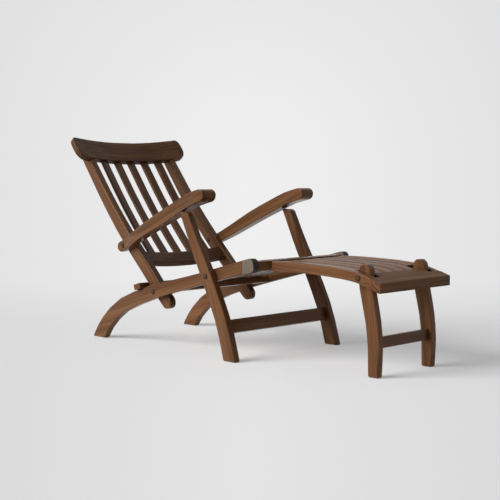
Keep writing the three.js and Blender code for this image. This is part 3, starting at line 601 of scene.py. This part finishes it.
def dress_wood(names, label, turn, tone=0.0, dull=0.0, mates=None):
    """Gives CAD nodes their walnut, with eased edges where their mates are listed"""
    if mates is not None:
        for name in names:
            ease_edges(name, mates)
    dress(names, wood_material(f"{label} walnut", turn, tone, dull))


def matching(*words):
    return [name for name in sorted(nodes) if name.startswith(words)]


# New pieces

SHANK_RADIUS = 0.004
SHANK_SUNK = 0.004
HEAD_RADIUS = 0.0070
INNER_SHARE = 0.86
DOME_HEIGHT = 0.0036
WASHER_EDGE = 0.3
DOME_STEPS = 8
ROUND_STEPS = 40
SHANK_STEPS = 24
TURNED_SHARP = math.radians(38)


def linked_object(name, data):
    """An object in the scene that shows a mesh, a lamp or a camera"""
    item = bpy.data.objects.new(name, data)
    bpy.context.scene.collection.objects.link(item)
    return item


def lathe_y(shape, centre, profile, steps=ROUND_STEPS, material=0):
    """Turns a profile of (radius, y) points about an axis along Y through a centre"""
    rings = []
    for radius, y in profile:
        if radius == 0:
            rings.append([shape.verts.new((centre.x, y, centre.z))])
            continue
        rings.append([
            shape.verts.new((
                centre.x + radius * math.cos(2 * math.pi * i / steps),
                y,
                centre.z + radius * math.sin(2 * math.pi * i / steps),
            ))
            for i in range(steps)
        ])
    for first, second in zip(rings, rings[1:]):
        for i in range(steps):
            j = (i + 1) % steps
            corners = [
                first[i % len(first)], first[j % len(first)],
                second[j % len(second)], second[i % len(second)]]
            shape.faces.new(list(dict.fromkeys(corners))).material_index = material


def bolt_end(look, face, way, crown):
    """Profiles of a washer that lies on a face and of the dome on it, out along Y"""
    rise, rim = look.washer_height, look.washer_radius
    edge = rise * WASHER_EDGE
    washer = [
        (SHANK_RADIUS, face - way * SHANK_SUNK), (SHANK_RADIUS, face),
        (rim - edge, face), (rim, face + way * edge),
        (rim, face + way * (rise - edge)), (rim - edge, face + way * rise),
        (crown, face + way * rise)]
    dome = [(crown, face + way * rise)]
    for i in range(1, DOME_STEPS + 1):
        angle = math.pi / 2 * i / DOME_STEPS
        radius = 0 if i == DOME_STEPS else crown * math.cos(angle)
        dome.append((radius, face + way * (rise + (DOME_HEIGHT - rise) * math.sin(angle))))
    return washer, dome


def turned_bolt(look, low, high):
    """A shank with a washer and a dome on each end, as long as the box of the CAD bolt"""
    centre = (low + high) / 2
    inner, outer = sorted((low.y + DOME_HEIGHT, high.y - DOME_HEIGHT), key=abs)
    shape = bmesh.new()
    for face, crown in ((outer, HEAD_RADIUS), (inner, HEAD_RADIUS * INNER_SHARE)):
        washer, dome = bolt_end(look, face, 1 if face > centre.y else -1, crown)
        lathe_y(shape, centre, washer)
        lathe_y(shape, centre, dome, material=1)
    lathe_y(shape, centre, [(SHANK_RADIUS, inner), (SHANK_RADIUS, outer)], SHANK_STEPS)
    return shape


def add_piece(name, shape, materials, body, replaced):
    """Makes a mesh piece from a bmesh and has it ride on a body"""
    mesh = bpy.data.meshes.new(name)
    bmesh.ops.recalc_face_normals(shape, faces=shape.faces)
    shape.to_mesh(mesh)
    shape.free()
    for material in materials:
        mesh.materials.append(material)
    mesh.shade_smooth()
    mesh.set_sharp_from_angle(angle=TURNED_SHARP)
    piece = linked_object(name, mesh)
    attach(piece, body)
    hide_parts(*replaced)


# Operators

def tilted(degrees):
    """Turn of a board that runs along the chair, by its angle about Y"""
    return (0, math.radians(degrees), 0)


# How the grain of the boards runs
ACROSS = (0, 0, math.radians(90))
SEAT_LINE = tilted(-16)
BACK_LINE = tilted(48)
ARM_LINE = tilted(-23)
FRONT_LEG_LINE = tilted(69)
FOOTREST_LINE = tilted(3)
FOOTREST_LEG_LINE = tilted(84)


class DeckOperator:
    """Options that all the operators share"""

    bl_options = {"REGISTER", "UNDO"}


class DECK_OT_seat(DeckOperator, bpy.types.Operator):
    """Give the seat rails, cross rails and seat slats their walnut"""

    bl_idname = "deck.seat"
    bl_label = "Dress Seat"

    def execute(self, context):
        dress_wood(
            matching("seat_rail"), "Long rail", SEAT_LINE, tone=-0.25,
            mates=["seat_front_rail", "seat_rear_rail"])
        dress_wood(matching("seat_slat"), "Long slat", SEAT_LINE, mates=[])
        # The front rail takes the lightest tone: its own golden colour, and painted light where
        # it lies in shade
        dress_wood(["seat_front_rail"], "Front rail", ACROSS, tone=-0.9)
        dress_wood(["seat_rear_rail"], "Cross rail", ACROSS)
        return {"FINISHED"}


class DECK_OT_back(DeckOperator, bpy.types.Operator):
    """Give the stiles, the bowed rails, the back slats and the stop bar their walnut"""

    bl_idname = "deck.back"
    bl_label = "Dress Back"

    def execute(self, context):
        dress_wood(matching("back_stile"), "Stile", BACK_LINE)
        # The back slats and the bowed rails are toned darker: partly their own colour, partly
        # painted shade on faces turned from the light
        dress_wood(matching("back_slat"), "Back slat", BACK_LINE, tone=0.17, mates=[])
        dress_wood(
            ["head_rail", "back_lower_rail"], "Head rail", ACROSS, tone=0.12, dull=0.2)
        dress_wood(["stop_bar"], "Stop bar", ACROSS)
        return {"FINISHED"}


class DECK_OT_arms(DeckOperator, bpy.types.Operator):
    """Give the arms their walnut"""

    bl_idname = "deck.arms"
    bl_label = "Dress Arms"

    def execute(self, context):
        dress_wood(["arm_right"], "Right arm", ARM_LINE, tone=-0.04, dull=-0.06)
        dress_wood(["arm_left"], "Left arm", ARM_LINE, tone=-0.34, dull=-0.06)
        return {"FINISHED"}


class DECK_OT_legs(DeckOperator, bpy.types.Operator):
    """Give the front legs, the footrest legs and their stretchers their walnut"""

    bl_idname = "deck.legs"
    bl_label = "Dress Legs"

    def execute(self, context):
        dress_wood(
            matching("front_leg"), "Front leg", FRONT_LEG_LINE, tone=0.05,
            mates=["front_stretcher"])
        dress_wood(
            ["footrest_leg_left", "footrest_leg_right"], "Footrest leg", FOOTREST_LEG_LINE,
            mates=["footrest_leg_stretcher"])
        dress_wood(
            ["front_stretcher", "footrest_leg_stretcher"], "Stretcher", ACROSS, tone=-0.3)
        return {"FINISHED"}


class DECK_OT_footrest(DeckOperator, bpy.types.Operator):
    """Give the footrest's rails, slats and end board their walnut"""

    bl_idname = "deck.footrest"
    bl_label = "Dress Footrest"

    def execute(self, context):
        dress_wood(matching("footrest_rail"), "Footrest rail", FOOTREST_LINE, tone=-0.42)
        dress_wood(
            matching("footrest_slat"), "Footrest slat", FOOTREST_LINE, tone=-0.12, dull=0.12,
            mates=[])
        dress_wood(["footrest_rear_rail", "footrest_mid_rail"], "Footrest cross", ACROSS)
        dress_wood(["footrest_end_board"], "End board", ACROSS, tone=0.04, dull=0.3)
        return {"FINISHED"}


class DECK_OT_bolts(DeckOperator, bpy.types.Operator):
    """Replace each pivot bolt by a turned one with washers, a domed head and a domed nut"""

    bl_idname = "deck.bolts"
    bl_label = "Make Bolts"

    def execute(self, context):
        look = context.scene.deck_steel
        # Near-black washers, which paint the shadow ring around each browned head
        black_and_ring_shadow = steel_material("Washer steel", look.black_and_ring_shadow, *BLACKENED)
        browned = steel_material("Browned steel", look.bolt, *BLACKENED)
        for name in [node for node in sorted(nodes) if "_bolt_" in node]:
            shape = turned_bolt(look, *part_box(name))
            add_piece(
                f"{name}_turned", shape, (black_and_ring_shadow, browned), body_of[name], [name])
        return {"FINISHED"}


class DECK_OT_metal(DeckOperator, bpy.types.Operator):
    """Give the shoes and hinges their steel"""

    bl_idname = "deck.metal"
    bl_label = "Dress Shoes and Hinges"

    def execute(self, context):
        look = context.scene.deck_steel
        # The shoes' darker nose, top and bottom and paler sides are painted shade and light
        dress(
            matching("end_cap"),
            steel_material("Shoe steel", look.nose, *SHOE_FINISH, sides=look.shoe))
        dress(matching("hinge"), steel_material("Hinge steel", look.black_and_ring_shadow, *BLACKENED))
        return {"FINISHED"}


class DECK_OT_stage(DeckOperator, bpy.types.Operator):
    """Make the pale floor, the broad light, the room's even light and the camera"""

    bl_idname = "deck.stage"
    bl_label = "Make Stage"

    def execute(self, context):
        look = context.scene.deck_stage
        context.scene.view_settings.view_transform = "Standard"
        make_floor(look)
        make_room(look)
        broad_light(look.sun)
        make_camera()
        return {"FINISHED"}


# Stage

FLOOR_REACH = 60.0
FLOOR_MIDDLE = (0.5, -0.5, 0.0)
FLOOR_WAVES = 1.4
FLOOR_DIMMEST = 0.98
FLOOR_BOUNDS = (0.2, 0.8)
FLOOR_ROUGHNESS = (0.72, 0.8)
FLOOR_SHEEN = 0.2

# Distances from the floor's middle where it starts to take the backdrop's colour and has it
FADE_START = 1.5
FADE_END = 3.8

# How much of the painted glow the camera sees on the floor around the chair, which also paints
# the chair's shadow on it lighter
CAMERA_LIFT = 0.30

# The way from the foot of the camera in which the painted light on the floor and backdrop is
# palest, and the angle from it where the dimmer sides start
BACKDROP_WAY = Vector((-0.709, 0.705, 0.0))
BACKDROP_SPREAD = math.radians(22)

# Distance from the floor's middle back to the foot of the camera, and distances from that foot
# where the painted pale way starts on the floor and is full
GLOW_REACH = 3.4
FAN_START = 0.5
FAN_FULL = 2.2

SUN_SOFTNESS = math.radians(46)
SUN_DIRECTION = Vector((-0.35, -0.82, 0.454))
ROOM_COOLNESS = 1.03


def seen_share(graph):
    """1 for rays from the camera, mirrors and glass, and 0 for those that light the chair"""
    rays = graph.add("ShaderNodeLightPath").outputs
    return graph.math(
        "MAXIMUM", rays["Is Camera Ray"],
        graph.math("MAXIMUM", rays["Is Glossy Ray"], rays["Is Transmission Ray"]))


def fanned_color(graph, way, middle, sides):
    """A colour in a direction: the middle one towards the backdrop, and dimmer to the sides, as a
    painted falloff of light
    """
    straight = graph.vector_math("NORMALIZE", way).outputs[0]
    facing = graph.vector_math("DOT_PRODUCT", straight, BACKDROP_WAY).outputs["Value"]
    angle = graph.math("ARCCOSINE", facing)
    share = graph.math("DIVIDE", angle, BACKDROP_SPREAD, clamp=True)
    return graph.mix(share, (*middle, 1), (*sides, 1))


def make_floor(look):
    """A pale floor that runs into the backdrop's colour far from the chair, with a painted pool
    of light around and behind the chair
    """
    shape = bmesh.new()
    bmesh.ops.create_grid(shape, x_segments=1, y_segments=1, size=FLOOR_REACH)
    mesh = bpy.data.meshes.new("floor")
    shape.to_mesh(mesh)
    shape.free()
    floor = linked_object("floor", mesh)
    floor.location = FLOOR_MIDDLE

    material, graph, shader = new_material("Studio floor")
    mesh.materials.append(material)
    place = graph.texture_place()
    faint = graph.noise(place, FLOOR_WAVES, 2.0)
    dimmer = tuple(channel * FLOOR_DIMMEST for channel in look.floor)
    graph.feed(
        shader.inputs["Base Color"], graph.mix(faint, (*look.floor, 1), (*dimmer, 1)))
    graph.feed(
        shader.inputs["Roughness"], graph.ramp(faint, *FLOOR_BOUNDS, *FLOOR_ROUGHNESS))
    shader.inputs["Specular IOR Level"].default_value = FLOOR_SHEEN

    distance = graph.vector_math("LENGTH", place).outputs["Value"]
    away = graph.ramp(distance, FADE_START, FADE_END, CAMERA_LIFT, 1.0)
    ahead = graph.vector_math("ADD", place, BACKDROP_WAY * GLOW_REACH).outputs[0]
    reach = graph.vector_math("LENGTH", ahead).outputs["Value"]
    fanned = graph.ramp(reach, FAN_START, FAN_FULL)
    # Painted pool of light: glow behind the chair, dimming to the sides
    near, beyond = [
        graph.mix(fanned, (*sides, 1), fanned_color(graph, ahead, middle, sides))
        for middle, sides in ((look.glow, look.sides), (look.backdrop, look.corners))]
    spread = graph.mix(graph.ramp(distance, FADE_START, FADE_END), near, beyond)
    pale = graph.add("ShaderNodeEmission", {"Color": spread})
    mixed = graph.add("ShaderNodeMixShader", {
        0: graph.math("MULTIPLY", away, seen_share(graph)),
        1: shader.outputs[0],
        2: pale.outputs[0],
    })
    surface = material.node_tree.nodes["Material Output"].inputs["Surface"]
    graph.feed(surface, mixed.outputs[0])
    return floor


def make_room(look):
    """Even light on the chair, and a pale room in the camera's view and in reflections, painted
    brighter in the backdrop's middle than at its corners
    """
    world = bpy.data.worlds.new("Studio room")
    bpy.context.scene.world = world
    world.use_nodes = True
    graph = Graph(world.node_tree)
    background = world.node_tree.nodes["Background"]
    even = (look.ambient, look.ambient, look.ambient * ROOM_COOLNESS, 1)
    seen = fanned_color(graph, graph.texture_place("Generated"), look.backdrop, look.corners)
    graph.feed(background.inputs["Color"], graph.mix(seen_share(graph), even, seen))
    background.inputs["Strength"].default_value = 1.0


def broad_light(strength):
    """A large soft window on the left of the chair, a little to the front"""
    lamp = bpy.data.lights.new("Window light", "SUN")
    lamp.energy = strength
    lamp.angle = SUN_SOFTNESS
    light = linked_object("Window light", lamp)
    light.rotation_mode = "QUATERNION"
    light.rotation_quaternion = (-SUN_DIRECTION).to_track_quat("-Z", "Y")


# Where the photograph was taken from, in the chair's own frame
CAMERA_PLACE = (2.9135, -2.8914, 0.6711)
CAMERA_AZIMUTH = math.radians(45.15)
CAMERA_ELEVATION = math.radians(4.04)
CAMERA_LENS = 75.97
CAMERA_SENSOR = 36
CAMERA_CLIP = (0.05, 200)


def make_camera():
    lens = bpy.data.cameras.new("Camera")
    lens.lens = CAMERA_LENS
    lens.sensor_width = CAMERA_SENSOR
    lens.clip_start, lens.clip_end = CAMERA_CLIP
    camera = linked_object("Camera", lens)
    back = Vector((
        math.sin(CAMERA_AZIMUTH) * math.cos(CAMERA_ELEVATION),
        -math.cos(CAMERA_AZIMUTH) * math.cos(CAMERA_ELEVATION),
        math.sin(CAMERA_ELEVATION),
    ))
    camera.location = CAMERA_PLACE
    camera.rotation_mode = "QUATERNION"
    camera.rotation_quaternion = (-back).to_track_quat("-Z", "Y")
    bpy.context.scene.camera = camera


# Add-on

OPERATORS = (
    DECK_OT_stage, DECK_OT_seat, DECK_OT_back, DECK_OT_arms, DECK_OT_legs, DECK_OT_footrest,
    DECK_OT_bolts, DECK_OT_metal)
SETTINGS = (WalnutSettings, SteelSettings, StageSettings)


class DECK_PT_panel(bpy.types.Panel):
    """Lists the settings and the operators"""

    bl_label = "Deck Chair"
    bl_idname = "DECK_PT_panel"
    bl_space_type = "VIEW_3D"
    bl_region_type = "UI"
    bl_category = "Deck Chair"

    def draw(self, context):
        scene = context.scene
        for group in (scene.deck_walnut, scene.deck_steel, scene.deck_stage):
            for name in group.__annotations__:
                self.layout.prop(group, name)
        for operator in OPERATORS:
            self.layout.operator(operator.bl_idname)


def register():
    for item in (*SETTINGS, *OPERATORS, DECK_PT_panel):
        bpy.utils.register_class(item)
    bpy.types.Scene.deck_walnut = bpy.props.PointerProperty(type=WalnutSettings)
    bpy.types.Scene.deck_steel = bpy.props.PointerProperty(type=SteelSettings)
    bpy.types.Scene.deck_stage = bpy.props.PointerProperty(type=StageSettings)


def unregister():
    del bpy.types.Scene.deck_walnut
    del bpy.types.Scene.deck_steel
    del bpy.types.Scene.deck_stage
    for item in reversed((*SETTINGS, *OPERATORS, DECK_PT_panel)):
        bpy.utils.unregister_class(item)


def main():
    register()
    bpy.ops.deck.stage()
    bpy.ops.deck.seat()
    bpy.ops.deck.back()
    bpy.ops.deck.arms()
    bpy.ops.deck.legs()
    bpy.ops.deck.footrest()
    bpy.ops.deck.bolts()
    bpy.ops.deck.metal()


if __name__ == "__main__":
    main()
